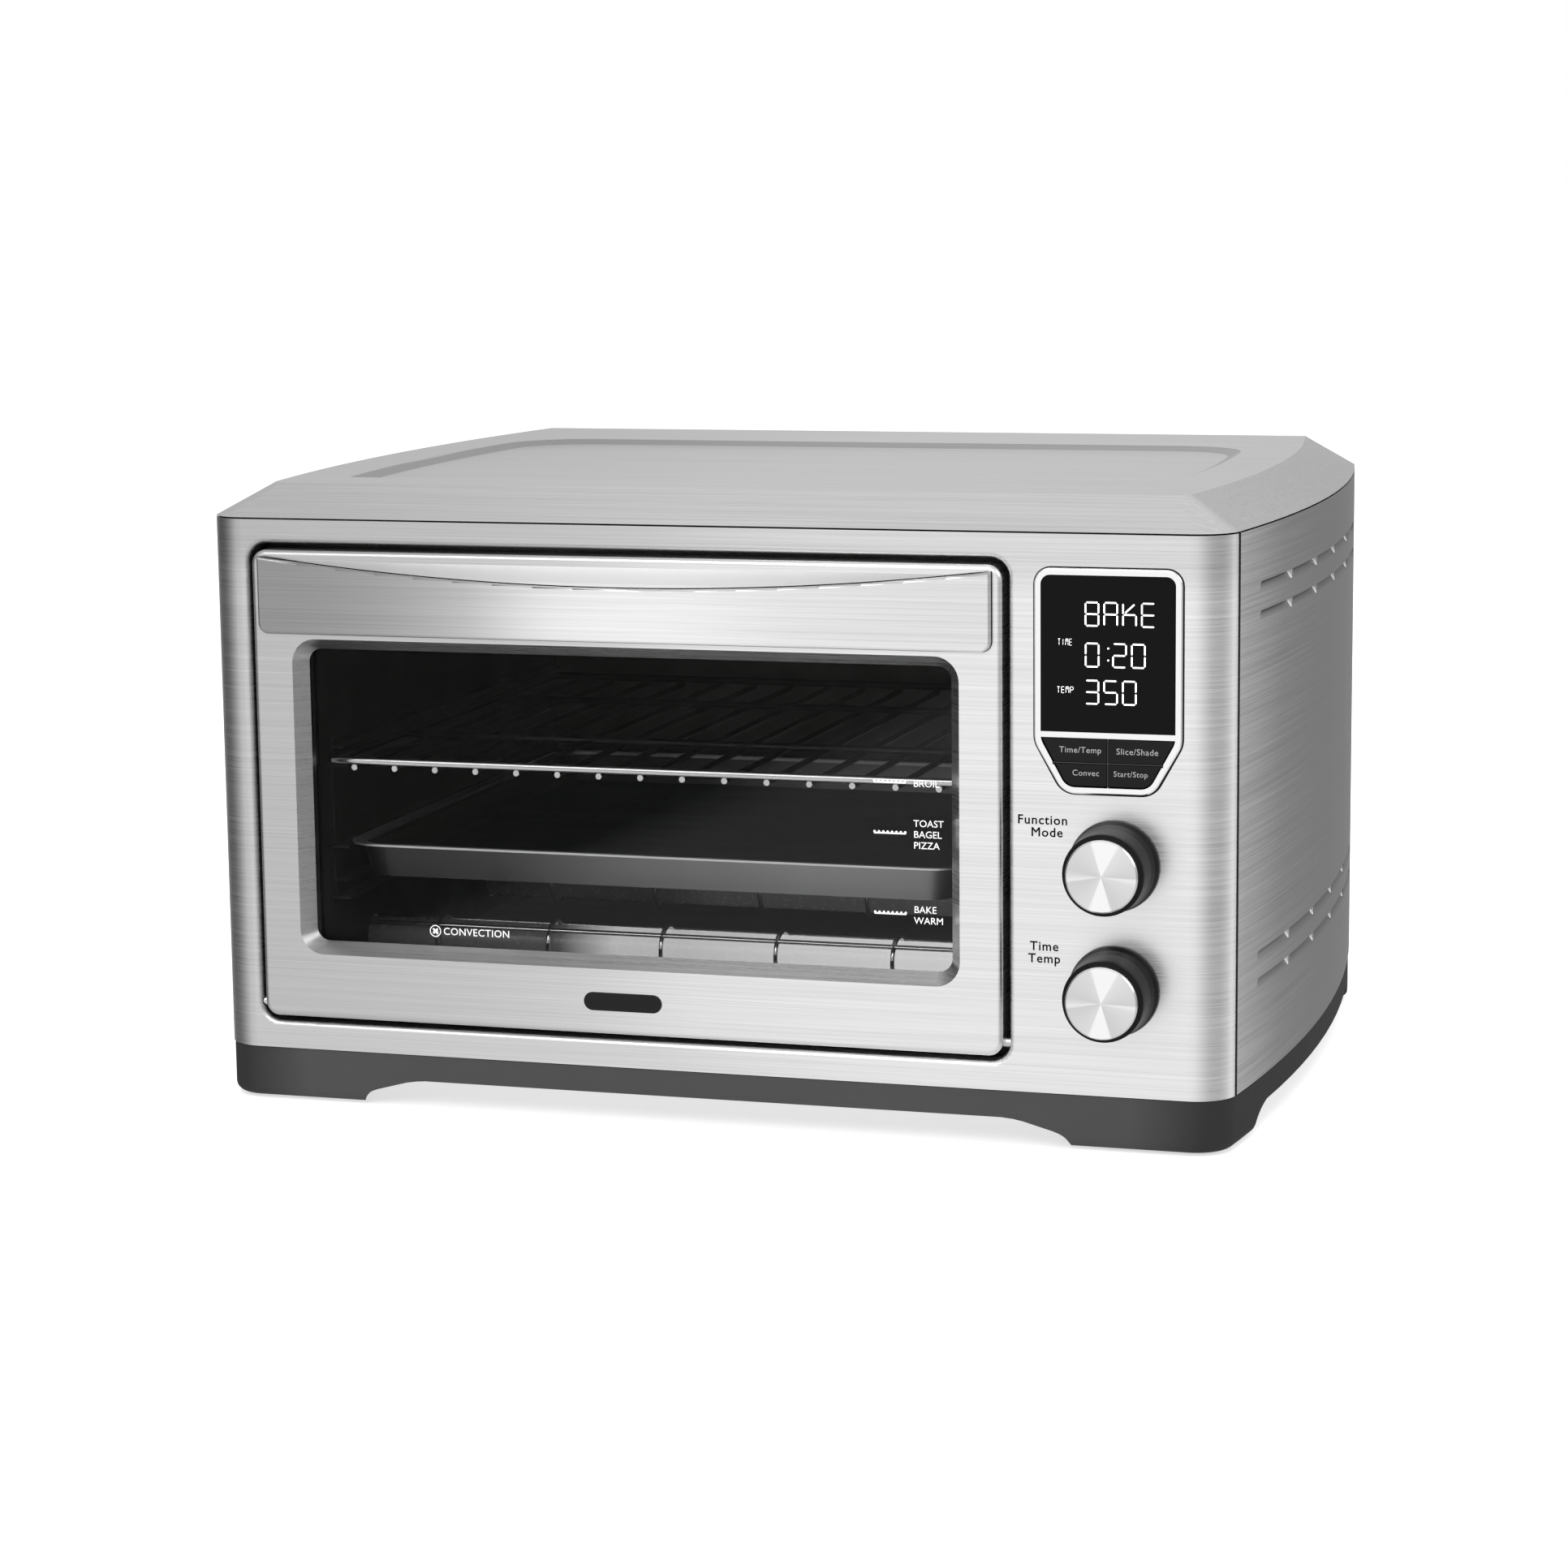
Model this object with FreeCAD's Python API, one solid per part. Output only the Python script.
import math
import os

import FreeCAD
import Part

# Countertop toaster oven: a bowed steel case on a moulded base, a bottom-hinged glass door,
# a heated cavity with fan, rack, pan and crumb tray, and a control column beside the door.
# Lengths are in millimetres. X runs across the front, Y from the fascia to the rear, Z up.
# Pieces are laid out with y = 0 on the fascia's face and z = 0 on the worktop.
# FRAME_Y then moves them so that the origin lies under the middle of the whole oven.

FRAME_Y = 189.0
CASE_DEPTH = 394.0
BOW_WIDEST = 261.4
BOW_RADIUS = 1262.5
BOW_Y = 183.0
CORNER_RADIUS = 19.5
SHEET = 1.2
SEAM = 0.4

BASE_TOP = 26.0
PANEL_TOP = 285.7
CASE_TOP = 301.0
BEVEL_FRONT = 24.0
BEVEL_SIDE = 26.5

DOOR_X = -40.0
RECESS_HALF = 187.5
RECESS_LOW = 40.0
RECESS_HIGH = 273.7
DOOR_HALF = 185.0
DOOR_LOW = 42.8
DOOR_HIGH = 271.0
DOOR_FRONT = -3.0
DOOR_REAR = 24.0
DOOR_SPLIT = 19.0
PIVOT_Y = 4.0
PIVOT_Z = 48.5
PIN_RADIUS = 2.5
PIN_BORE = 2.55

WINDOW_HALF = 159.5
WINDOW_LOW = 80.0
WINDOW_HIGH = 223.0
WINDOW_BEVEL = 5.5
WINDOW_REAR = 5.0
GLASS_FRONT = 6.0
GLASS_REAR = 10.0

HANDLE_HALF = 180.5
HANDLE_LOW = 231.0
HANDLE_HIGH = 268.0
HANDLE_DIP = 11.5
HANDLE_FRONT = -7.0

CAVITY_HALF = 165.0
CAVITY_FRONT = 27.5
CAVITY_REAR = 361.0
CAVITY_LOW = 45.0
CAVITY_HIGH = 261.0
WALL = 0.8
SHIELD = 0.5

TUBE_RADIUS = 9.5
COIL_RADIUS = 2.6
TUBE_PLACES = ((90.0, 66.0), (255.0, 65.0), (90.0, 244.0), (255.0, 244.0))
GUARD_RADIUS = 12.6
GUARD_WIRE = 1.3
GUARD_PITCH = 59.3

RACK_Z = 165.0
RACK_LEDGE = 162.6
PAN_RIM = 122.0
PAN_LEDGE = 121.7
PAN_HALF = 152.0
PAN_FRONT = 37.0
PAN_REAR = 341.0
LOW_LEDGE = 96.0

FAN_Y = 172.0
FAN_Z = 207.0
FAN_REACH = 33.0
FAN_SHAFT = 3.0
FAN_BORE = 3.05

PROBE_Y = 305.0
PROBE_Z = 212.0

PANEL_X = 194.0
KNOB_X = 197.0
MODE_Z = 134.3
TIME_Z = 76.3
KNOB_FRONT = -29.0
KNOB_SHAFT = 3.0
KNOB_BORE = 3.05

BEZEL_OUTLINE = ((159.8, 270.0), (228.2, 270.0), (228.2, 190.5), (214.6, 167.0), (173.4, 167.0), (159.8, 190.5))
BEZEL_RADII = (7.5, 7.5, 12.0, 10.0, 10.0, 12.0)
BEZEL_BAND = 2.8
BAR_LOW = 192.8
BAR_HIGH = 195.4
KEY_SPLIT_Z = 181.3
KEY_GAP = 0.5
KEY_RIB = 0.3


def vec(x, y, z):
    return FreeCAD.Vector(x, y, z)


def block(x0, x1, y0, y1, z0, z1):
    return Part.makeBox(x1 - x0, y1 - y0, z1 - z0, vec(x0, y0, z0))


def rod(radius, start, end):
    along = end.sub(start)
    return Part.makeCylinder(radius, along.Length, start, along)


def across(radius, x0, x1, y, z):
    return rod(radius, vec(x0, y, z), vec(x1, y, z))


def deep(radius, x, y0, y1, z):
    return rod(radius, vec(x, y0, z), vec(x, y1, z))


def upright(radius, x, y, z0, z1):
    return rod(radius, vec(x, y, z0), vec(x, y, z1))


def join(shapes):
    whole = shapes[0]
    for shape in shapes[1:]:
        whole = whole.fuse(shape)
    return whole.removeSplitter()


def group(shapes):
    return Part.makeCompound(shapes)


def front_place(u, v, level):
    return vec(u, level, v)


def plan_place(u, v, level):
    return vec(u, v, level)


def side_place(u, v, level):
    return vec(level, u, v)


def rounded_wire(corners, radii, level, place):
    """Closed outline through the corners, each corner rounded by its own radius."""
    count = len(corners)
    entries = []
    for index in range(count):
        here = FreeCAD.Vector(corners[index][0], corners[index][1], 0)
        before = FreeCAD.Vector(corners[index - 1][0], corners[index - 1][1], 0)
        after_pair = corners[(index + 1) % count]
        after = FreeCAD.Vector(after_pair[0], after_pair[1], 0)
        back = before.sub(here).normalize()
        ahead = after.sub(here).normalize()
        half = back.getAngle(ahead) / 2
        radius = radii[index]
        reach = radius / math.tan(half)
        middle = back.add(ahead).normalize()
        entry = here.add(back * reach)
        leave = here.add(ahead * reach)
        top = here.add(middle * (radius / math.sin(half) - radius))
        entries.append((entry, top, leave, radius))
    edges = []
    for index in range(count):
        entry, top, leave, radius = entries[index]
        following = entries[(index + 1) % count][0]
        start = place(entry.x, entry.y, level)
        mid = place(top.x, top.y, level)
        stop = place(leave.x, leave.y, level)
        target = place(following.x, following.y, level)
        if radius > 0:
            edges.append(Part.Arc(start, mid, stop).toShape())
        if stop.distanceToPoint(target) > 0.001:
            edges.append(Part.makeLine(stop, target))
    return Part.Wire(edges)


def rectangle(half, low, high, centre=DOOR_X):
    left = centre - half
    right = centre + half
    return ((left, low), (right, low), (right, high), (left, high))


def front_prism(corners, radii, y0, y1):
    face = Part.Face(rounded_wire(corners, radii, y0, front_place))
    return face.extrude(vec(0, y1 - y0, 0))


def door_prism(half, low, high, radius, y0, y1):
    return front_prism(rectangle(half, low, high), (radius,) * 4, y0, y1)


def plan_prism_box(x0, x1, y0, y1, radius, z0, z1):
    corners = ((x0, y0), (x1, y0), (x1, y1), (x0, y1))
    face = Part.Face(rounded_wire(corners, (radius,) * 4, z0, plan_place))
    return face.extrude(vec(0, 0, z1 - z0))


def side_prism(points, x0, x1):
    face = Part.Face(rounded_wire(points, (0,) * len(points), x0, side_place))
    return face.extrude(vec(x1 - x0, 0, 0))


def bow_x(y, inset):
    radius = BOW_RADIUS - inset
    return BOW_WIDEST - BOW_RADIUS + math.sqrt(radius ** 2 - (y - BOW_Y) ** 2)


def touch_point(corner_radius, centre_y, inset):
    """Centre of a corner circle that touches the bowed side, and where it touches."""
    bow_centre = BOW_WIDEST - BOW_RADIUS
    side_radius = BOW_RADIUS - inset
    reach = side_radius - corner_radius
    centre_x = bow_centre + math.sqrt(reach ** 2 - (centre_y - BOW_Y) ** 2)
    across_x = (centre_x - bow_centre) / reach
    across_y = (centre_y - BOW_Y) / reach
    touch = (bow_centre + across_x * side_radius, BOW_Y + across_y * side_radius)
    return centre_x, (across_x, across_y), touch


def case_wire(front, inset, corner, rear, rear_corner, z):
    """Plan outline of the case: straight front, round corners, bowed sides, flat rear."""
    centre_x, outward, seam = touch_point(corner, front + corner, inset)
    lean = math.atan2(outward[1], outward[0])
    turn = (lean - math.pi / 2) / 2
    mid_x = centre_x + corner * math.cos(turn)
    mid_y = front + corner + corner * math.sin(turn)
    if rear_corner > 0:
        rear_x, rear_out, rear_touch = touch_point(rear_corner, rear - rear_corner, inset)
        rear_lean = math.atan2(rear_out[1], rear_out[0])
        rear_turn = (rear_lean + math.pi / 2) / 2
        rear_mid = (rear_x + rear_corner * math.cos(rear_turn),
                    rear - rear_corner + rear_corner * math.sin(rear_turn))
    else:
        rear_x = bow_x(rear, inset)
        rear_touch = (rear_x, rear)
    middle_y = (seam[1] + rear_touch[1]) / 2
    middle_x = bow_x(middle_y, inset)
    edges = [
        Part.makeLine(vec(-centre_x, front, z), vec(centre_x, front, z)),
        Part.Arc(vec(centre_x, front, z), vec(mid_x, mid_y, z), vec(seam[0], seam[1], z)).toShape(),
        Part.Arc(vec(seam[0], seam[1], z), vec(middle_x, middle_y, z),
                 vec(rear_touch[0], rear_touch[1], z)).toShape(),
    ]
    if rear_corner > 0:
        edges.append(Part.Arc(vec(rear_touch[0], rear_touch[1], z), vec(rear_mid[0], rear_mid[1], z),
                              vec(rear_x, rear, z)).toShape())
    edges.append(Part.makeLine(vec(rear_x, rear, z), vec(-rear_x, rear, z)))
    if rear_corner > 0:
        edges.append(Part.Arc(vec(-rear_x, rear, z), vec(-rear_mid[0], rear_mid[1], z),
                              vec(-rear_touch[0], rear_touch[1], z)).toShape())
    edges.append(Part.Arc(vec(-rear_touch[0], rear_touch[1], z), vec(-middle_x, middle_y, z),
                          vec(-seam[0], seam[1], z)).toShape())
    edges.append(Part.Arc(vec(-seam[0], seam[1], z), vec(-mid_x, mid_y, z),
                          vec(-centre_x, front, z)).toShape())
    return Part.Wire(edges)


def case_prism(inset, z0, z1, rear=CASE_DEPTH):
    wire = case_wire(inset, inset, CORNER_RADIUS - inset, rear, 0, z0)
    return Part.Face(wire).extrude(vec(0, 0, z1 - z0))


def case_shell(inset, thickness, z0, z1):
    return case_prism(inset, z0, z1).cut(case_prism(inset + thickness, z0 - 1, z1 + 1, CASE_DEPTH + 1))


def edges_at(shape, test):
    found = []
    for edge in shape.Edges:
        if all(test(vertex.Point) for vertex in edge.Vertexes):
            found.append(edge)
    return found


def near(value, target):
    return abs(value - target) < 0.01


# ---- base ----------------------------------------------------------------------------------

REAR_SCREWS = ((-230, 276), (0, 276), (230, 276), (-230, 165), (230, 165), (-230, 58), (230, 58))
BASE_SCREWS = ((-242, 60), (242, 60), (-242, 335), (242, 335))
SCREW_HOLE = 1.75
FOOT_PLACES = ((-214.0, 27.0), (214.0, 27.0), (-210.0, 368.0), (210.0, 368.0))
SKIRT_LOW = 1.2
SKIRT_WALL = 3.0


def front_arch(y0, y1):
    """Curved space between two feet, seen from the front."""
    half_foot = 176.5
    half_mid = 163.0
    half_crown = 138.0
    crown = 13.5
    right = Part.BSplineCurve()
    right.interpolate([vec(half_foot, y0, -1), vec(half_foot - 1.5, y0, 4.2), vec(half_mid, y0, 9.6),
                       vec(153.0, y0, 12.3), vec(half_crown, y0, crown)])
    left = Part.BSplineCurve()
    left.interpolate([vec(-half_crown, y0, crown), vec(-153.0, y0, 12.3), vec(-half_mid, y0, 9.6),
                      vec(1.5 - half_foot, y0, 4.2), vec(-half_foot, y0, -1)])
    edges = [
        right.toShape(),
        Part.makeLine(vec(half_crown, y0, crown), vec(-half_crown, y0, crown)),
        left.toShape(),
        Part.makeLine(vec(-half_foot, y0, -1), vec(half_foot, y0, -1)),
    ]
    return Part.Face(Part.Wire(edges)).extrude(vec(0, y1 - y0, 0))


def side_arch():
    """Space between the front and rear feet, seen from the side."""
    curve = Part.BSplineCurve()
    curve.interpolate([vec(-300, 45, -1), vec(-300, 48, 3.5), vec(-300, 56, 9.2), vec(-300, 69, 13.0)])
    rear = Part.BSplineCurve()
    rear.interpolate([vec(-300, 331, 13.0), vec(-300, 344, 9.2), vec(-300, 352, 3.5), vec(-300, 355, -1)])
    edges = [
        curve.toShape(),
        Part.makeLine(vec(-300, 69, 13.0), vec(-300, 331, 13.0)),
        rear.toShape(),
        Part.makeLine(vec(-300, 355, -1), vec(-300, 45, -1)),
    ]
    return Part.Face(Part.Wire(edges)).extrude(vec(600, 0, 0))


def base_skirt():
    outer = case_prism(0.5, SKIRT_LOW, BASE_TOP)
    lower_edges = edges_at(outer, lambda point: near(point.z, SKIRT_LOW))
    outer = outer.makeFillet(4.5, lower_edges)
    inner = case_prism(0.5 + SKIRT_WALL, SKIRT_LOW - 1, BASE_TOP + 1, CASE_DEPTH - SKIRT_WALL)
    rim = case_shell(0.5, 12.0, BASE_TOP - 2.5, BASE_TOP)
    skirt = outer.cut(inner).fuse(rim)
    for x, y in FOOT_PLACES:
        inner_x = abs(x) - 22
        outer_x = abs(x) + 46
        side = 1 if x > 0 else -1
        y0, y1 = (0, y + 19) if y < BOW_Y else (y - 15, CASE_DEPTH)
        ledge = block(min(side * inner_x, side * outer_x), max(side * inner_x, side * outer_x), y0, y1, 4.0, 7.0)
        skirt = skirt.fuse(ledge.common(case_prism(2.0, 3.0, 8.0, CASE_DEPTH - 2.0)))
        skirt = skirt.fuse(upright(5.0, x, y, 7.0, BASE_TOP))
    skirt = skirt.cut(front_arch(-20, CASE_DEPTH + 20))
    skirt = skirt.cut(side_arch())
    for x, y in BASE_SCREWS:
        skirt = skirt.cut(upright(SCREW_HOLE, x, y, BASE_TOP - 5, BASE_TOP + 5))
    return skirt


def rubber_feet():
    pads = []
    for x, y in FOOT_PLACES:
        pads.append(plan_prism_box(x - 17, x + 17, y - 12, y + 12, 5, 0.0, 4.0))
    return group(pads)


def bottom_plate():
    plate = case_prism(2.4, BASE_TOP, BASE_TOP + WALL, CASE_DEPTH - 2.4)
    for row in range(6):
        y = 90 + 40 * row
        for column in range(3):
            x = -150 + 110 * column
            plate = plate.cut(plan_prism_box(x - 35, x + 35, y - 2.5, y + 2.5, 2.4, 20, 30))
    for x, y in BASE_SCREWS:
        plate = plate.cut(upright(SCREW_HOLE, x, y, BASE_TOP - 5, BASE_TOP + 5))
    return plate


# ---- case ----------------------------------------------------------------------------------

def recess_prism(grow, y0, y1):
    return door_prism(RECESS_HALF + grow, RECESS_LOW - grow, RECESS_HIGH + grow, 9.0 + grow, y0, y1)


def front_fascia():
    seam_y = touch_point(CORNER_RADIUS, CORNER_RADIUS, 0)[2][1]
    skin = case_shell(0, SHEET, BASE_TOP + SEAM, PANEL_TOP - SEAM)
    skin = skin.common(block(-300, 300, -10, seam_y - SEAM, 0, 320))
    skin = skin.fuse(recess_prism(4.0, 0, 4.5)).fuse(recess_prism(SHEET, 0, 9.0))
    skin = skin.cut(recess_prism(0, -1, 12))
    rim = edges_at(skin, lambda point: near(point.y, 0) and inside_recess(point))
    skin = skin.makeFillet(2.8, rim)
    for x in (DOOR_X - DOOR_HALF, DOOR_X + DOOR_HALF):
        skin = skin.cut(across(PIN_RADIUS + 0.6, x - 10.6, x + 10.6, PIVOT_Y, PIVOT_Z))
    skin = skin.cut(bezel_prism(2.0, -5, 12))
    for z in (MODE_Z, TIME_Z):
        skin = skin.cut(deep(4.6, KNOB_X, -5, 12, z))
    return skin


def inside_recess(point):
    wide = abs(point.x - DOOR_X) < RECESS_HALF + 1
    return wide and RECESS_LOW - 1 < point.z < RECESS_HIGH + 1


LOUVRE_ROWS = (257.5, 244.0, 85.0, 72.0)
LOUVRE_FRONT = 48.5
LOUVRE_REAR = 342.0
LOUVRE_PITCH = 58.5
LOUVRE_HALF = 2.6
LOUVRE_DEPTH = 3.2


def leaning_mass(inset, z):
    """Case outline that leans inwards from the lower to the upper edge of one louvre row."""
    low = case_wire(inset, inset, CORNER_RADIUS - inset, CASE_DEPTH - inset, 0, z - LOUVRE_HALF)
    deep_inset = inset + LOUVRE_DEPTH
    high = case_wire(deep_inset, deep_inset, CORNER_RADIUS - deep_inset, CASE_DEPTH - deep_inset, 0,
                     z + LOUVRE_HALF)
    return Part.makeLoft([low, high], True, True)


def louvre_row(z):
    """Pressed-in sloping strip, open along its top, with a gusset at each end and between cells."""
    lean = leaning_mass(0, z)
    strip = lean.cut(leaning_mass(WALL, z)).common(block(0, 300, LOUVRE_FRONT - 1, LOUVRE_REAR + 1, 0, 320))
    wedge = case_prism(0, z - LOUVRE_HALF, z + LOUVRE_HALF).cut(lean)
    parts = [strip]
    walls = [LOUVRE_FRONT - 1.0, LOUVRE_REAR]
    for count in range(4):
        walls.append(LOUVRE_FRONT + LOUVRE_PITCH * (count + 1))
    for y in walls:
        parts.append(wedge.common(block(0, 300, y, y + 1.0, 0, 320)))
    return join(parts)


def side_panel(side):
    seam_y = touch_point(CORNER_RADIUS, CORNER_RADIUS, 0)[2][1]
    skin = case_shell(0, WALL, BASE_TOP + SEAM, PANEL_TOP - SEAM)
    skin = skin.common(block(0, 300, seam_y + SEAM, CASE_DEPTH, 0, 320))
    for z in LOUVRE_ROWS:
        slot = block(230, 280, LOUVRE_FRONT + LOUVRE_HALF, LOUVRE_REAR, z - LOUVRE_HALF, z + LOUVRE_HALF)
        slot = slot.fuse(across(LOUVRE_HALF, 230, 280, LOUVRE_FRONT + LOUVRE_HALF, z))
        skin = skin.cut(slot)
    for z in LOUVRE_ROWS:
        skin = skin.fuse(louvre_row(z))
    if side < 0:
        skin = skin.mirror(vec(0, 0, 0), vec(1, 0, 0))
    return skin


def side_panel_left():
    return side_panel(-1)


def side_panel_right():
    return side_panel(1)


def cover_mass(drop, z_low):
    low = case_wire(drop, drop, CORNER_RADIUS - drop, CASE_DEPTH - drop, 0, z_low)
    high = case_wire(BEVEL_FRONT + drop * 0.4, BEVEL_SIDE + drop * 0.4, 9.0, CASE_DEPTH - drop, 0,
                     CASE_TOP - drop)
    return Part.makeLoft([low, high], True, True)


def tray_mass(grow, drop):
    top = case_wire(58.0 - grow, 54.4 - grow, 6.0 + grow, 320.0 + grow, 40.0 + grow, CASE_TOP + 0.01)
    floor = case_wire(66.0 - grow, 62.4 - grow, 4.0 + grow, 312.0 + grow, 34.0 + grow, CASE_TOP - 3.0 - drop)
    return Part.makeLoft([top, floor], True, True)


def top_cover():
    outer = cover_mass(0, PANEL_TOP + SEAM).cut(tray_mass(0, 0))
    inner = cover_mass(SHEET, PANEL_TOP - 0.5).cut(tray_mass(SHEET, SHEET))
    return outer.cut(inner)


REAR_TRAY_SLOT = (-202.0, 122.0, 44.6, 51.8)
INLET_X = 205.0
INLET_Z = 72.0


def rear_cover():
    edge = bow_x(CASE_DEPTH, WALL) - 0.5
    plate = block(-edge, edge, CASE_DEPTH - WALL, CASE_DEPTH, BASE_TOP + SEAM, PANEL_TOP - SEAM)
    points = ((CASE_DEPTH, BASE_TOP + SEAM), (407.0, BASE_TOP + SEAM), (407.0, 37.0), (404.0, 40.0),
              (CASE_DEPTH, 40.0))
    hollow = ((CASE_DEPTH - 2, BASE_TOP - 1), (405.8, BASE_TOP - 1), (405.8, 36.5), (403.5, 38.8),
              (CASE_DEPTH - 2, 38.8))
    cover = plate.fuse(side_prism(points, -240, 240)).cut(side_prism(hollow, -238.8, 238.8))
    x0, x1, z0, z1 = REAR_TRAY_SLOT
    cover = cover.cut(block(x0, x1, CASE_DEPTH - 5, CASE_DEPTH + 5, z0, z1))
    cover = cover.cut(deep(8.2, INLET_X, CASE_DEPTH - 5, CASE_DEPTH + 5, INLET_Z))
    for column in range(4):
        for row in range(7):
            x = -168 + 80 * column
            z = 196 + 10 * row
            corners = ((x - 30, z - 2), (x + 30, z - 2), (x + 30, z + 2), (x - 30, z + 2))
            cover = cover.cut(front_prism(corners, (1.9,) * 4, CASE_DEPTH - 5, CASE_DEPTH + 5))
    for row in range(9):
        z = 110 + 10 * row
        corners = ((160, z - 2), (220, z - 2), (220, z + 2), (160, z + 2))
        cover = cover.cut(front_prism(corners, (1.9,) * 4, CASE_DEPTH - 5, CASE_DEPTH + 5))
    for x, z in REAR_SCREWS:
        cover = cover.cut(deep(SCREW_HOLE, x, CASE_DEPTH - 5, CASE_DEPTH + 5, z))
    return cover


def cord_inlet():
    bush = deep(8.0, INLET_X, CASE_DEPTH - 14, CASE_DEPTH, INLET_Z)
    flange = deep(11.5, INLET_X, CASE_DEPTH, CASE_DEPTH + 3.5, INLET_Z)
    nut = deep(11.0, INLET_X, CASE_DEPTH - 4.5, CASE_DEPTH - WALL, INLET_Z)
    bore = deep(4.0, INLET_X, CASE_DEPTH - 20, CASE_DEPTH + 10, INLET_Z)
    return join([bush, flange, nut]).cut(bore)


def screw_rear(x, z):
    head = deep(3.4, x, CASE_DEPTH, CASE_DEPTH + 2.0, z)
    shank = deep(1.7, x, CASE_DEPTH - 8, CASE_DEPTH, z)
    cross = block(x - 2.2, x + 2.2, CASE_DEPTH + 1.2, CASE_DEPTH + 3, z - 0.4, z + 0.4)
    other = block(x - 0.4, x + 0.4, CASE_DEPTH + 1.2, CASE_DEPTH + 3, z - 2.2, z + 2.2)
    return head.fuse(shank).cut(cross).cut(other)


def screw_base(x, y):
    head = upright(3.4, x, y, BASE_TOP - 4.5, BASE_TOP - 2.5)
    shank = upright(1.7, x, y, BASE_TOP - 2.5, BASE_TOP + 5)
    return head.fuse(shank)


def case_screws():
    screws = []
    for x, z in REAR_SCREWS:
        screws.append(screw_rear(x, z))
    for x, y in BASE_SCREWS:
        screws.append(screw_base(x, y))
    return group(screws)


# ---- cavity --------------------------------------------------------------------------------

LEFT_WALL = DOOR_X - CAVITY_HALF
RIGHT_WALL = DOOR_X + CAVITY_HALF


def cavity_wall(x0):
    wall = block(x0, x0 + WALL, CAVITY_FRONT, CAVITY_REAR, CAVITY_LOW - WALL, CAVITY_HIGH + WALL)
    for y, z in TUBE_PLACES:
        wall = wall.cut(across(TUBE_RADIUS + 0.6, x0 - 2, x0 + 4, y, z))
    return wall


def cavity_left_wall():
    return cavity_wall(LEFT_WALL - WALL)


def cavity_right_wall():
    wall = cavity_wall(RIGHT_WALL)
    wall = wall.cut(across(FAN_REACH - 3, RIGHT_WALL - 2, RIGHT_WALL + 4, FAN_Y, FAN_Z))
    return wall.cut(across(1.9, RIGHT_WALL - 2, RIGHT_WALL + 4, PROBE_Y, PROBE_Z))


def cavity_roof():
    return block(LEFT_WALL, RIGHT_WALL, CAVITY_FRONT, CAVITY_REAR, CAVITY_HIGH, CAVITY_HIGH + WALL)


def cavity_floor():
    return block(LEFT_WALL, RIGHT_WALL, CAVITY_FRONT, CASE_DEPTH - 3, CAVITY_LOW - WALL, CAVITY_LOW)


def cavity_back():
    wall = block(LEFT_WALL - WALL, RIGHT_WALL + WALL, CAVITY_REAR, CAVITY_REAR + WALL,
                 CAVITY_LOW, CAVITY_HIGH + WALL)
    x0, x1, z0, z1 = REAR_TRAY_SLOT
    return wall.cut(block(x0, x1, CAVITY_REAR - 2, CAVITY_REAR + 3, z0, z1))


def cavity_front_frame():
    frame = door_prism(RECESS_HALF + 6, RECESS_LOW - 5, RECESS_HIGH + 5, 8, CAVITY_FRONT - 1.3, CAVITY_FRONT)
    hole = door_prism(CAVITY_HALF, 53.5, CAVITY_HIGH, 3, CAVITY_FRONT - 5, CAVITY_FRONT + 5)
    sides = recess_prism(4.0, 9.3, CAVITY_FRONT - 0.5).cut(recess_prism(2.8, 8, CAVITY_FRONT))
    return frame.cut(hole).fuse(sides)


def guide(side):
    """Sheet guide on one cavity wall, with ledges for the rack, the pan and a low rack."""
    wall_x = RIGHT_WALL - 1.0
    parts = [block(wall_x, wall_x + 1.0, 40, 350, 92, 173)]
    for z in (RACK_LEDGE, PAN_LEDGE, LOW_LEDGE):
        parts.append(block(wall_x - 10, wall_x + 0.5, 34, 352, z - 1.2, z))
    for z in (RACK_LEDGE, LOW_LEDGE):
        parts.append(block(wall_x - 6, wall_x + 0.5, 40, 350, z + 6.4, z + 7.6))
    shape = join(parts)
    if side < 0:
        shape = shape.mirror(vec(DOOR_X, 0, 0), vec(1, 0, 0))
    return shape


def rack_guides():
    return group([guide(-1), guide(1)])


def heater_tubes():
    tubes = []
    for y, z in TUBE_PLACES:
        outer = across(TUBE_RADIUS, LEFT_WALL - 8, RIGHT_WALL + 8, y, z)
        inner = across(TUBE_RADIUS - 1.0, LEFT_WALL - 9, RIGHT_WALL + 9, y, z)
        tubes.append(outer.cut(inner))
    return group(tubes)


def heater_coils():
    coils = []
    for y, z in TUBE_PLACES:
        coils.append(across(COIL_RADIUS, LEFT_WALL - 5.5, RIGHT_WALL + 5.5, y, z))
    return group(coils)


def heater_end_caps():
    caps = []
    for y, z in TUBE_PLACES:
        for x0, x1 in ((LEFT_WALL - 20, LEFT_WALL - 8), (RIGHT_WALL + 8, RIGHT_WALL + 20)):
            body = across(TUBE_RADIUS + 2.6, x0, x1, y, z)
            terminal = across(2.0, x0 - 2, x1 + 2, y, z)
            shoulder = across(TUBE_RADIUS + 2.4, LEFT_WALL - 8, LEFT_WALL - 4, y, z)
            collar = shoulder.cut(across(TUBE_RADIUS, LEFT_WALL - 9, LEFT_WALL, y, z))
            if x0 > 0:
                collar.translate(vec(RIGHT_WALL - LEFT_WALL + 12, 0, 0))
            caps.append(body.fuse(terminal).fuse(collar))
    return group(caps)


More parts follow.
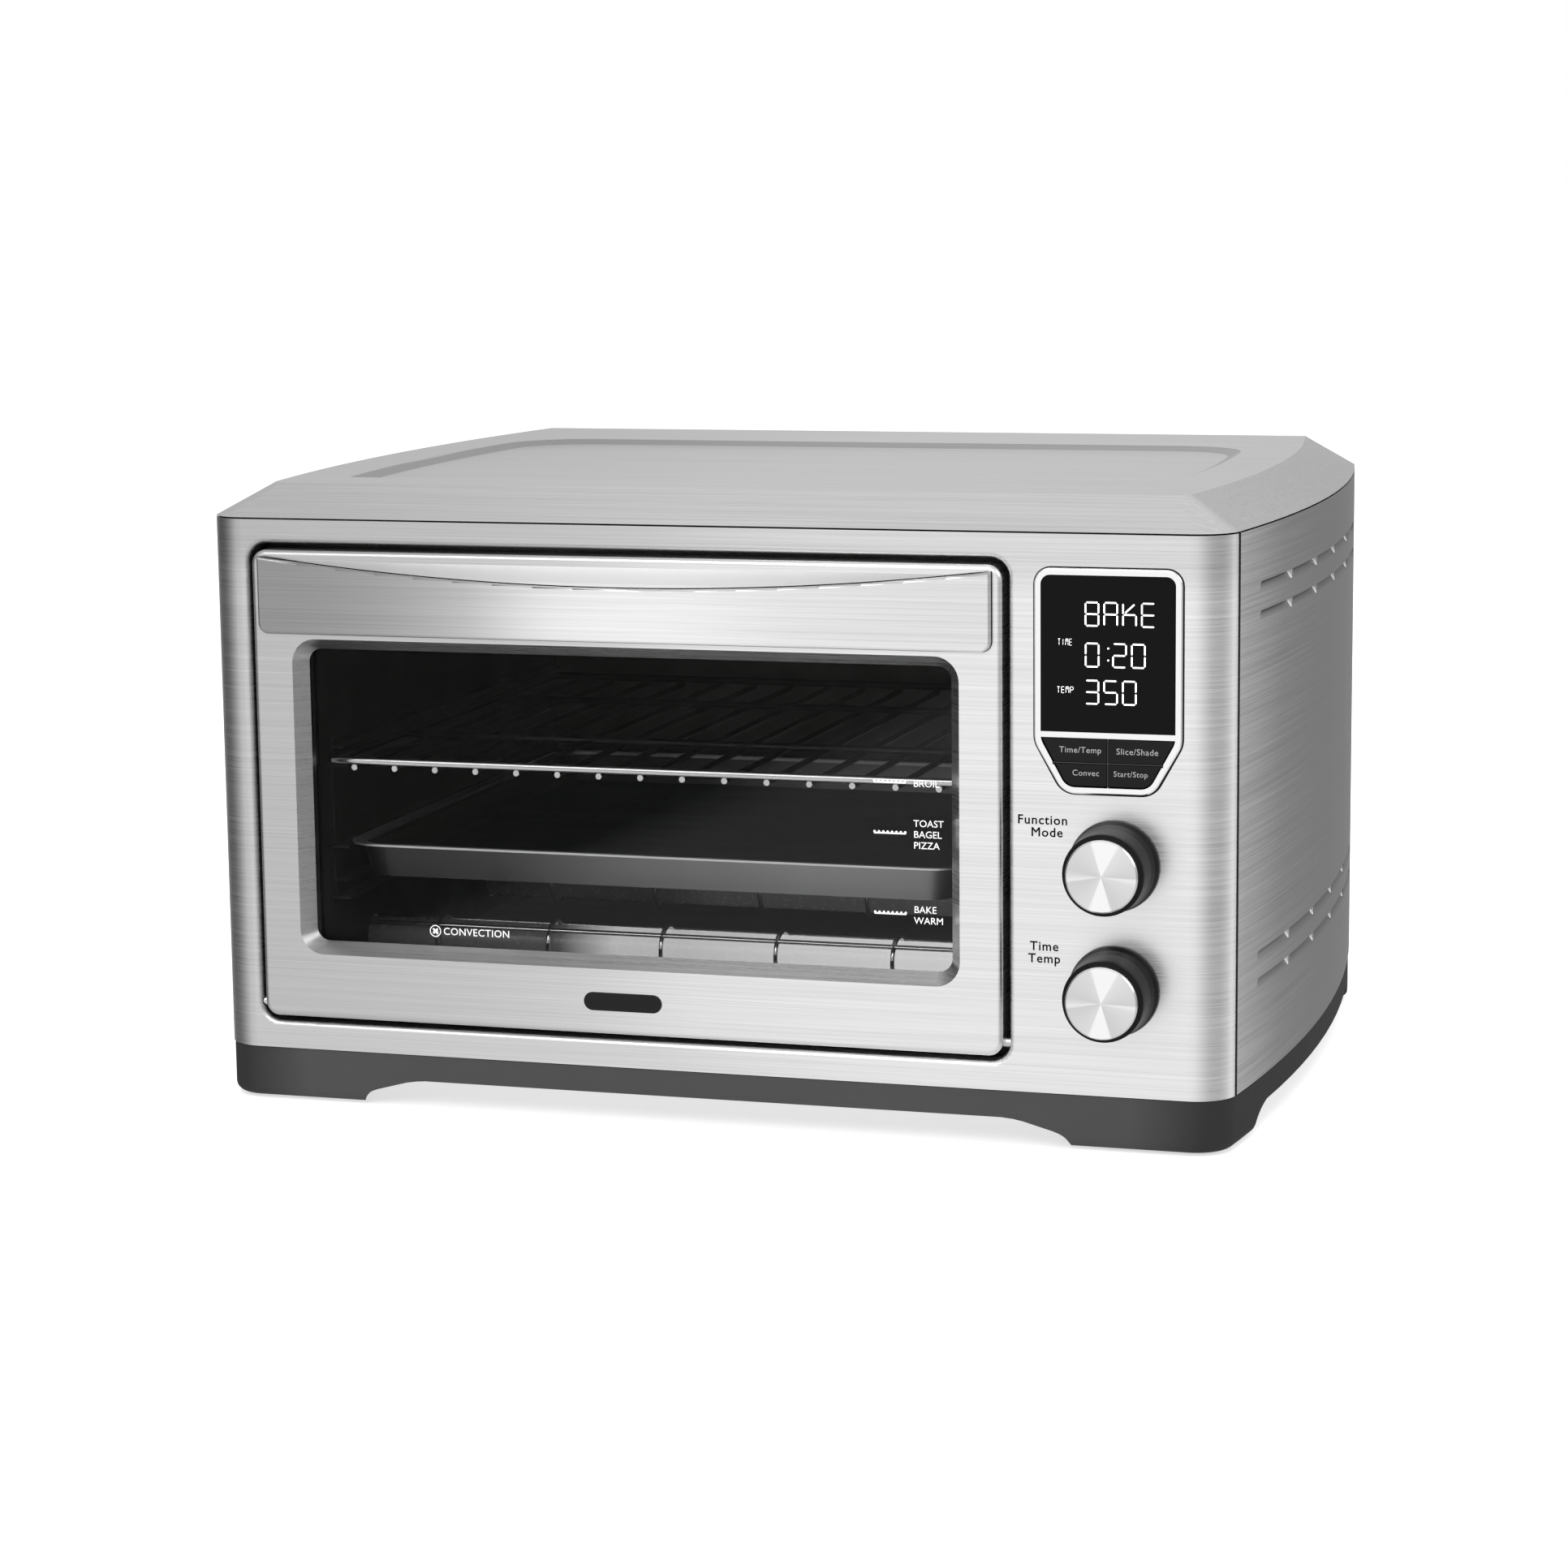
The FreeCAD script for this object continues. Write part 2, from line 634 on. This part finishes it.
def heater_guards():
    guards = []
    for y, z in TUBE_PLACES:
        lift = 1 if z < 150 else -1
        pieces = []
        for count in range(5):
            x = -166.9 + GUARD_PITCH * count
            pieces.append(Part.makeTorus(GUARD_RADIUS - GUARD_WIRE, GUARD_WIRE, vec(x, y, z), vec(1, 0, 0)))
        reach = (GUARD_RADIUS - GUARD_WIRE) * 0.7071
        for turn in (-1, 1):
            pieces.append(across(GUARD_WIRE, LEFT_WALL, RIGHT_WALL, y + turn * reach, z + lift * reach))
        guards.append(join(pieces))
    return group(guards)


def temperature_probe():
    stem = across(1.8, RIGHT_WALL - 13, RIGHT_WALL + 12, PROBE_Y, PROBE_Z)
    head = across(4.5, RIGHT_WALL + WALL, RIGHT_WALL + 6, PROBE_Y, PROBE_Z)
    return stem.fuse(head)


def thermal_cutout():
    disc = upright(9.0, DOOR_X + 70, 150, CAVITY_HIGH + WALL, CAVITY_HIGH + 8)
    lug = block(DOOR_X + 55, DOOR_X + 85, 146, 154, CAVITY_HIGH + WALL, CAVITY_HIGH + 2.2)
    tabs = block(DOOR_X + 66, DOOR_X + 74, 149.6, 150.4, CAVITY_HIGH + 8, CAVITY_HIGH + 11.5)
    return join([disc, lug, tabs])


def heat_shields():
    right = block(148, 148 + SHIELD, 40, 385, 30, 278)
    right = right.cut(across(12, 140, 160, FAN_Y, FAN_Z))
    left = block(-234, -234 + SHIELD, 44, 385, 30, 278)
    for y, z in TUBE_PLACES:
        right = right.cut(across(5, 140, 160, y, z))
    top = block(-225, 146, 40, 385, 275, 275 + SHIELD)
    return group([left, right, top])


# ---- fan -----------------------------------------------------------------------------------

def fan_grille():
    plate = across(FAN_REACH, RIGHT_WALL - 4.0, RIGHT_WALL - 3.0, FAN_Y, FAN_Z)
    for ring in range(3):
        radius = 9 + 8 * ring
        count = 6 + 6 * ring
        for step in range(count):
            turn = 2 * math.pi * step / count
            y = FAN_Y + radius * math.cos(turn)
            z = FAN_Z + radius * math.sin(turn)
            plate = plate.cut(across(2.6, RIGHT_WALL - 6, RIGHT_WALL, y, z))
    skirt = across(FAN_REACH, RIGHT_WALL - 4.0, RIGHT_WALL, FAN_Y, FAN_Z)
    skirt = skirt.cut(across(FAN_REACH - 1, RIGHT_WALL - 5.0, RIGHT_WALL + 1, FAN_Y, FAN_Z))
    return plate.fuse(skirt)


def fan_housing():
    drum = across(FAN_REACH + 10, RIGHT_WALL + WALL, RIGHT_WALL + 20, FAN_Y, FAN_Z)
    hollow = across(FAN_REACH + 9, RIGHT_WALL, RIGHT_WALL + 19, FAN_Y, FAN_Z)
    return drum.cut(hollow).cut(across(6, RIGHT_WALL, RIGHT_WALL + 30, FAN_Y, FAN_Z))


def fan_wheel():
    base = RIGHT_WALL + 3
    hub = across(9, base, base + 13, FAN_Y, FAN_Z)
    plate = across(FAN_REACH, base + 12, base + 13, FAN_Y, FAN_Z)
    shaft = across(FAN_SHAFT, base, RIGHT_WALL + 58, FAN_Y, FAN_Z)
    pieces = [hub, plate, shaft]
    for step in range(8):
        blade = block(base + 1, base + 12.5, 7, FAN_REACH - 1, -0.6, 0.6)
        blade.rotate(vec(0, 0, 0), vec(1, 0, 0), 45 * step)
        blade.translate(vec(0, FAN_Y, FAN_Z))
        pieces.append(blade)
    return join(pieces)


def fan_motor():
    body = across(22, RIGHT_WALL + 30, RIGHT_WALL + 56, FAN_Y, FAN_Z)
    stack = block(RIGHT_WALL + 36, RIGHT_WALL + 50, FAN_Y - 28, FAN_Y + 28, FAN_Z - 26, FAN_Z + 26)
    bore = across(FAN_BORE, RIGHT_WALL + 20, RIGHT_WALL + 60, FAN_Y, FAN_Z)
    return body.fuse(stack).cut(bore)


def motor_bracket():
    back = block(RIGHT_WALL + 28.5, RIGHT_WALL + 30, FAN_Y - 60, FAN_Y + 60, FAN_Z - 14, FAN_Z + 14)
    back = back.cut(across(8, RIGHT_WALL + 20, RIGHT_WALL + 40, FAN_Y, FAN_Z))
    legs = [back]
    for y in (FAN_Y - 60, FAN_Y + 58.5):
        legs.append(block(RIGHT_WALL + 24, RIGHT_WALL + 30, y, y + 1.5, FAN_Z - 14, FAN_Z + 14))
    return join(legs)


# ---- controls ------------------------------------------------------------------------------

def bezel_prism(inset, y0, y1):
    """Prism on the control bezel's outline, moved inward by an inset."""
    left = BEZEL_OUTLINE[0][0] + inset
    right = BEZEL_OUTLINE[1][0] - inset
    high = BEZEL_OUTLINE[0][1] - inset
    low = BEZEL_OUTLINE[3][1] + inset
    shoulder = BEZEL_OUTLINE[2][1] + inset * 0.4
    toe = BEZEL_OUTLINE[3][0] - inset * 0.45
    heel = BEZEL_OUTLINE[4][0] + inset * 0.45
    corners = ((left, high), (right, high), (right, shoulder), (toe, low), (heel, low), (left, shoulder))
    radii = tuple(max(radius - inset, 1.0) for radius in BEZEL_RADII)
    return front_prism(corners, radii, y0, y1)


def control_bezel():
    flange = bezel_prism(0, -1.6, -0.0)
    flange = flange.makeFillet(0.9, edges_at(flange, lambda point: near(point.y, -1.6)))
    sleeve = bezel_prism(2.2, -0.5, 5.0)
    ring = flange.fuse(sleeve).cut(bezel_prism(BEZEL_BAND + 0.3, -5, 10))
    bar = block(BEZEL_OUTLINE[0][0] + 2.5, BEZEL_OUTLINE[1][0] - 2.5, -1.4, 5.0, BAR_LOW, BAR_HIGH)
    bottom = BEZEL_OUTLINE[3][1]
    half = KEY_RIB / 2
    upright_rib = block(PANEL_X - half, PANEL_X + half, -1.2, 5.0, bottom + 2.5, BAR_LOW + 0.5)
    flat_rib = block(100, 300, -1.2, 5.0, KEY_SPLIT_Z - half, KEY_SPLIT_Z + half)
    flat_rib = flat_rib.common(bezel_prism(2.5, -5, 10))
    return join([ring, bar, upright_rib, flat_rib])


def display_lens():
    lens = bezel_prism(BEZEL_BAND + 0.5, -0.9, 1.5)
    return lens.common(block(100, 300, -5, 10, BAR_HIGH + 0.2, 300))


def display_module():
    glass = block(168, 220, 2.0, 5.0, 200, 262)
    backing = block(166, 222, 5.0, 11.6, 198, 264)
    return glass.fuse(backing)


def key(column, row):
    pad = bezel_prism(BEZEL_BAND + 0.9, -1.3, 6.0)
    pad = pad.makeFillet(0.4, edges_at(pad, lambda point: near(point.y, -1.3)))
    if column < 0:
        x0 = 100
        x1 = PANEL_X - KEY_GAP
    else:
        x0 = PANEL_X + KEY_GAP
        x1 = 300
    if row > 0:
        z0 = KEY_SPLIT_Z + KEY_GAP
        z1 = BAR_LOW - 0.4
    else:
        z0 = 100
        z1 = KEY_SPLIT_Z - KEY_GAP
    return pad.common(block(x0, x1, -10, 10, z0, z1))


def key_timer():
    return key(-1, 1)


def key_units():
    return key(1, 1)


def key_fan():
    return key(-1, -1)


def key_start():
    return key(1, -1)


KEY_CENTRES = ((179.0, 187.0), (209.0, 187.0), (184.5, 175.6), (203.5, 175.6))


def tact_switches():
    switches = []
    for x, z in KEY_CENTRES:
        body = block(x - 3, x + 3, 8.0, 12.0, z - 3, z + 3)
        switches.append(body.fuse(deep(1.7, x, 7.1, 8.0, z)))
    return group(switches)


def control_board():
    board = block(161, 240, 12.0, 13.6, 52, 266)
    chip = block(176, 188, 13.6, 15.2, 150, 162)
    strip = block(226, 236, 13.6, 21.0, 110, 140)
    return join([board, chip, strip])


def board_bracket():
    parts = []
    for x, z in ((163.5, 58), (163.5, 160), (230.8, 58), (230.8, 160), (230.8, 258)):
        parts.append(deep(2.6, x, 1.7, 12.0, z))
    return group(parts)


def encoders():
    parts = []
    for z in (MODE_Z, TIME_Z):
        body = block(KNOB_X - 7, KNOB_X + 7, 5.0, 12.0, z - 7, z + 7)
        bush = deep(4.4, KNOB_X, -5.0, 5.0, z)
        nut = deep(6.6, KNOB_X, -2.4, 0.0, z)
        parts.append(join([body, bush, nut]).cut(deep(KNOB_BORE, KNOB_X, -6, 9.0, z)))
    return group(parts)


def knob_body(z):
    """Flared grip turned on a lathe, hollow behind, with its shaft."""
    points = [(0, -26.4), (16.9, -26.4), (18.7, -25.2), (18.9, -23.0), (19.2, -11.0), (19.9, -6.0),
              (21.0, -2.4), (21.0, -0.8), (17.0, -0.8), (17.0, -8.0), (0, -8.0)]
    corners = [vec(radius, y, 0) for radius, y in points]
    corners.append(corners[0])
    turned = Part.Face(Part.makePolygon(corners)).revolve(vec(0, 0, 0), vec(0, 1, 0), 360)
    shaft = deep(KNOB_SHAFT, 0, -20.0, 8.0, 0)
    whole = turned.fuse(shaft)
    whole.translate(vec(KNOB_X, 0, z))
    return whole


def knob_cap(z):
    disc = deep(16.7, KNOB_X, KNOB_FRONT, -26.4, z)
    disc = disc.makeChamfer(0.7, edges_at(disc, lambda point: near(point.y, KNOB_FRONT)))
    return disc


def mode_knob():
    return knob_body(MODE_Z)


def mode_knob_cap():
    return knob_cap(MODE_Z)


def time_knob():
    return knob_body(TIME_Z)


def time_knob_cap():
    return knob_cap(TIME_Z)


def power_board():
    board = block(158, 240, 60, 200, 40, 41.6)
    posts = [board]
    for x in (164, 234):
        for y in (66, 194):
            posts.append(upright(3, x, y, BASE_TOP + WALL, 40))
    return join(posts)


def relays():
    parts = []
    for y in (76, 100, 124):
        parts.append(block(166, 184, y, y + 18, 41.6, 57))
    parts.append(block(166, 186, 150, 188, 41.6, 50))
    return group(parts)


def transformer():
    core = block(198, 232, 110, 146, 46, 74)
    coil = block(194, 236, 117, 139, 41.6, 78)
    return core.fuse(coil)


def cable(points, radius):
    pieces = []
    for index in range(len(points) - 1):
        pieces.append(rod(radius, points[index], points[index + 1]))
    for point in points[1:-1]:
        pieces.append(Part.makeSphere(radius, point))
    return join(pieces)


def wiring_harness():
    ribbon = cable([vec(231, 24, 125), vec(231, 34, 70), vec(231, 90, 46)], 2.2)
    supply = cable([vec(196, 360, 52), vec(222, 290, 52), vec(228, 190, 47)], 2.6)
    fan_lead = cable([vec(180, 205, 150), vec(190, 225, 100), vec(190, 195, 47)], 1.4)
    return group([ribbon, supply, fan_lead])


# ---- door ----------------------------------------------------------------------------------

def window_loft(grow, front, rear):
    """Splayed window opening, wider at the door's face than at the glass."""
    outer = rectangle(WINDOW_HALF + WINDOW_BEVEL + grow, WINDOW_LOW - WINDOW_BEVEL - grow,
                      WINDOW_HIGH + WINDOW_BEVEL + grow)
    inner = rectangle(WINDOW_HALF + grow, WINDOW_LOW - grow, WINDOW_HIGH + grow)
    wide = rounded_wire(outer, (12.0 + grow,) * 4, front, front_place)
    tight = rounded_wire(inner, (6.5 + grow,) * 4, rear, front_place)
    return Part.makeLoft([wide, tight], True, True)


def door_outer_frame():
    outer = door_prism(DOOR_HALF, DOOR_LOW, DOOR_HIGH, 7.0, DOOR_FRONT, DOOR_SPLIT)
    outer = outer.makeFillet(2.5, edges_at(outer, lambda point: near(point.y, DOOR_FRONT)))
    hollow = door_prism(DOOR_HALF - SHEET, DOOR_LOW + SHEET, DOOR_HIGH - SHEET, 5.8, DOOR_FRONT + SHEET,
                        DOOR_SPLIT + 1)
    hollow = hollow.makeFillet(1.3, edges_at(hollow, lambda point: near(point.y, DOOR_FRONT + SHEET)))
    frame = outer.cut(hollow)
    frame = frame.fuse(window_loft(SHEET, DOOR_FRONT, WINDOW_REAR))
    frame = frame.cut(window_loft(0, DOOR_FRONT, WINDOW_REAR))
    frame = frame.cut(door_prism(HANDLE_HALF - 4.5, 235.5, 266.0, 5, DOOR_FRONT - 2, DOOR_FRONT + 3))
    for x in (DOOR_X - DOOR_HALF, DOOR_X + DOOR_HALF):
        frame = frame.cut(across(PIN_RADIUS, x - 3, x + 3, PIVOT_Y, PIVOT_Z))
    return frame


def handle_pocket():
    front = DOOR_FRONT + SHEET
    outer = ((front, 233.0), (7.0, 233.0), (13.0, 240.0), (13.0, 257.0), (4.0, 268.0), (front, 268.0))
    inner = ((front - 1, 235.5), (6.5, 235.5), (12.0, 241.0), (12.0, 256.6), (3.6, 266.0), (front - 1, 266.0))
    shell = side_prism(outer, DOOR_X - HANDLE_HALF + 2, DOOR_X + HANDLE_HALF - 2)
    return shell.cut(side_prism(inner, DOOR_X - HANDLE_HALF + 4.5, DOOR_X + HANDLE_HALF - 4.5))


def handle_face(inset, y):
    left = DOOR_X - HANDLE_HALF + inset
    right = DOOR_X + HANDLE_HALF - inset
    low = HANDLE_LOW + inset
    dip = HANDLE_HIGH - HANDLE_DIP
    radius = 5.0
    edges = [
        Part.Arc(vec(left, y, HANDLE_HIGH), vec(DOOR_X, y, dip), vec(right, y, HANDLE_HIGH)).toShape(),
        Part.makeLine(vec(right, y, HANDLE_HIGH), vec(right, y, low + radius)),
        Part.Arc(vec(right, y, low + radius), vec(right - radius * 0.293, y, low + radius * 0.293),
                 vec(right - radius, y, low)).toShape(),
        Part.makeLine(vec(right - radius, y, low), vec(left + radius, y, low)),
        Part.Arc(vec(left + radius, y, low), vec(left + radius * 0.293, y, low + radius * 0.293),
                 vec(left, y, low + radius)).toShape(),
        Part.makeLine(vec(left, y, low + radius), vec(left, y, HANDLE_HIGH)),
    ]
    return Part.Face(Part.Wire(edges))


def handle_plate():
    plate = handle_face(0, HANDLE_FRONT).extrude(vec(0, DOOR_FRONT - HANDLE_FRONT, 0))
    plate = plate.makeFillet(1.2, edges_at(plate, lambda point: near(point.y, HANDLE_FRONT)))
    hollow = handle_face(1.5, HANDLE_FRONT + 1.5).extrude(vec(0, 10, 0))
    over = block(DOOR_X - HANDLE_HALF + 1.5, DOOR_X + HANDLE_HALF - 1.5, HANDLE_FRONT + 1.5, 3, 250, 275)
    return plate.cut(hollow).cut(over)


def door_inner_frame():
    body = door_prism(DOOR_HALF - 3, DOOR_LOW + 4, DOOR_HIGH - 3, 6.0, DOOR_SPLIT, DOOR_REAR)
    body = body.makeFillet(2.0, edges_at(body, lambda point: near(point.y, DOOR_REAR)))
    hollow = door_prism(DOOR_HALF - 4.2, DOOR_LOW + 5.2, DOOR_HIGH - 4.2, 5.0, DOOR_SPLIT - 1, DOOR_REAR - SHEET)
    collar = door_prism(WINDOW_HALF + 6.4, WINDOW_LOW - 6.4, WINDOW_HIGH + 3, 8, DOOR_SPLIT, DOOR_REAR)
    opening = door_prism(WINDOW_HALF + 5.2, WINDOW_LOW - 5.2, WINDOW_HIGH + 1.8, 7, 0, DOOR_REAR + 5)
    return body.cut(hollow).fuse(collar).cut(opening)


def door_glass():
    return door_prism(WINDOW_HALF + 6, WINDOW_LOW - 6, WINDOW_HIGH + 6, 6, GLASS_FRONT, GLASS_REAR)


def glass_gasket():
    ring = door_prism(WINDOW_HALF + 6, WINDOW_LOW - 6, WINDOW_HIGH + 6, 6, WINDOW_REAR, GLASS_FRONT)
    return ring.cut(door_prism(WINDOW_HALF + 0.6, WINDOW_LOW - 0.6, WINDOW_HIGH + 0.6, 5, 0, 10))


def glass_retainer():
    ring = door_prism(WINDOW_HALF + 9, WINDOW_LOW - 9, WINDOW_HIGH + 7, 9, GLASS_REAR, DOOR_SPLIT)
    inner = door_prism(WINDOW_HALF + 4, WINDOW_LOW - 4, WINDOW_HIGH + 3, 5, 0, 30)
    return ring.cut(inner)


def door_hinge_pins():
    parts = []
    for side in (-1, 1):
        edge = DOOR_X + side * (DOOR_HALF - SHEET)
        low_x = min(edge, edge - side * 8)
        carrier = block(low_x, low_x + 8, -0.2, 9.5, DOOR_LOW, 56)
        carrier = carrier.common(door_prism(DOOR_HALF - SHEET - 0.05, DOOR_LOW + SHEET + 0.05, 80, 5.7, -1, 10))
        start = edge - side * 6
        stop = DOOR_X + side * (RECESS_HALF + 7.7)
        parts.append(carrier.fuse(across(PIN_RADIUS, min(start, stop), max(start, stop), PIVOT_Y, PIVOT_Z)))
    return group(parts)


def hinge_brackets():
    parts = []
    for side in (-1, 1):
        x = DOOR_X + side * (RECESS_HALF + 5.5)
        x0 = min(x, x + side * 2.0)
        plate = block(x0, x0 + 2.0, 1.7, CAVITY_FRONT - 1.3, 38.5, 74)
        plate = plate.cut(across(PIN_BORE, x0 - 5, x0 + 5, PIVOT_Y, PIVOT_Z))
        parts.append(plate)
    return group(parts)


# ---- loose cooking pieces ------------------------------------------------------------------

def wire_rack():
    x0 = DOOR_X - 159.0
    x1 = DOOR_X + 159.0
    y0 = 29.0
    y1 = 346.0
    pieces = []
    for x in (x0, x1):
        pieces.append(deep(2.0, x, y0, y1, RACK_Z))
    for y in (y0, y1):
        pieces.append(across(2.0, x0, x1, y, RACK_Z))
    for x in (x0, x1):
        for y in (y0, y1):
            pieces.append(Part.makeSphere(2.0, vec(x, y, RACK_Z)))
    for count in range(15):
        x = -190.2 + 21.06 * count - (-190.2 + 21.06 * 7 - DOOR_X)
        pieces.append(deep(1.5, x, y0 - 1.0, y1 + 1.0, RACK_Z - 3.1))
    for y in (120.0, 255.0):
        pieces.append(across(1.8, x0, x1, y, RACK_Z - 0.2))
    return join(pieces)


def pan_loft(grow, z_top, z_low, taper):
    left = DOOR_X - PAN_HALF - grow
    right = DOOR_X + PAN_HALF + grow
    front = PAN_FRONT - grow
    rear = PAN_REAR + grow
    top = ((left, front), (right, front), (right, rear), (left, rear))
    low = tuple((x + taper if x < DOOR_X else x - taper, y + taper if y < 190 else y - taper) for x, y in top)
    upper = rounded_wire(top, (16.0 + grow,) * 4, z_top, plan_place)
    lower = rounded_wire(low, (12.0 + grow,) * 4, z_low, plan_place)
    return Part.makeLoft([upper, lower], True, True)


def bake_pan():
    rim = plan_prism_box(DOOR_X - 158, DOOR_X + 158, 33.5, 345.0, 18, PAN_RIM, PAN_RIM + 1.0)
    body = pan_loft(0.8, PAN_RIM, 106.4, 4.0)
    inside = pan_loft(0, PAN_RIM + 1.01, 107.3, 4.0)
    pan = rim.fuse(body).cut(inside)
    feet = []
    for x in (DOOR_X - 103.0, DOOR_X - 4.0, DOOR_X + 92.0):
        for y in (PAN_FRONT + 12, PAN_REAR - 12):
            feet.append(upright(4.5, x, y, 105.4, 106.6))
    return pan.fuse(feet)


def crumb_tray():
    x0 = DOOR_X - 159.5
    x1 = DOOR_X + 159.5
    floor = block(x0, x1, 31, CASE_DEPTH + 0.6, 45.3, 46.1)
    walls = [block(x0, x0 + 0.9, 31, CASE_DEPTH + 0.6, 45.3, 50.6),
             block(x1 - 0.9, x1, 31, CASE_DEPTH + 0.6, 45.3, 50.6),
             block(x0, x1, 31, 31.9, 45.3, 50.6)]
    end = block(x0 - 4, x1 + 4, CASE_DEPTH + 0.5, CASE_DEPTH + 1.7, 43.0, 56.0)
    grip = block(DOOR_X - 45, DOOR_X + 45, CASE_DEPTH + 1.5, CASE_DEPTH + 10.5, 48.5, 50.0)
    lip = block(DOOR_X - 45, DOOR_X + 45, CASE_DEPTH + 9.5, CASE_DEPTH + 10.7, 44.0, 50.0)
    return join([floor] + walls + [end, grip, lip])


PIECES = (
    base_skirt, rubber_feet, bottom_plate, front_fascia, side_panel_left, side_panel_right, top_cover,
    rear_cover, cord_inlet, case_screws, cavity_left_wall, cavity_right_wall, cavity_roof, cavity_floor,
    cavity_back, cavity_front_frame, rack_guides, heater_tubes, heater_coils, heater_end_caps,
    heater_guards, temperature_probe, thermal_cutout, heat_shields, fan_grille, fan_housing,
    fan_wheel, fan_motor, motor_bracket, control_bezel, display_lens, display_module, control_board,
    board_bracket, tact_switches, encoders, key_timer, key_units, key_fan, key_start, mode_knob,
    mode_knob_cap, time_knob, time_knob_cap, power_board, relays, transformer, wiring_harness,
    door_outer_frame, handle_pocket, handle_plate, door_inner_frame, door_glass, glass_gasket,
    glass_retainer, door_hinge_pins, hinge_brackets, wire_rack, bake_pan, crumb_tray,
)

os.makedirs("parts", exist_ok=True)
for piece in PIECES:
    shape = piece()
    shape.translate(vec(0, -FRAME_Y, 0))
    shape.exportStep("parts/" + piece.__name__ + ".step")
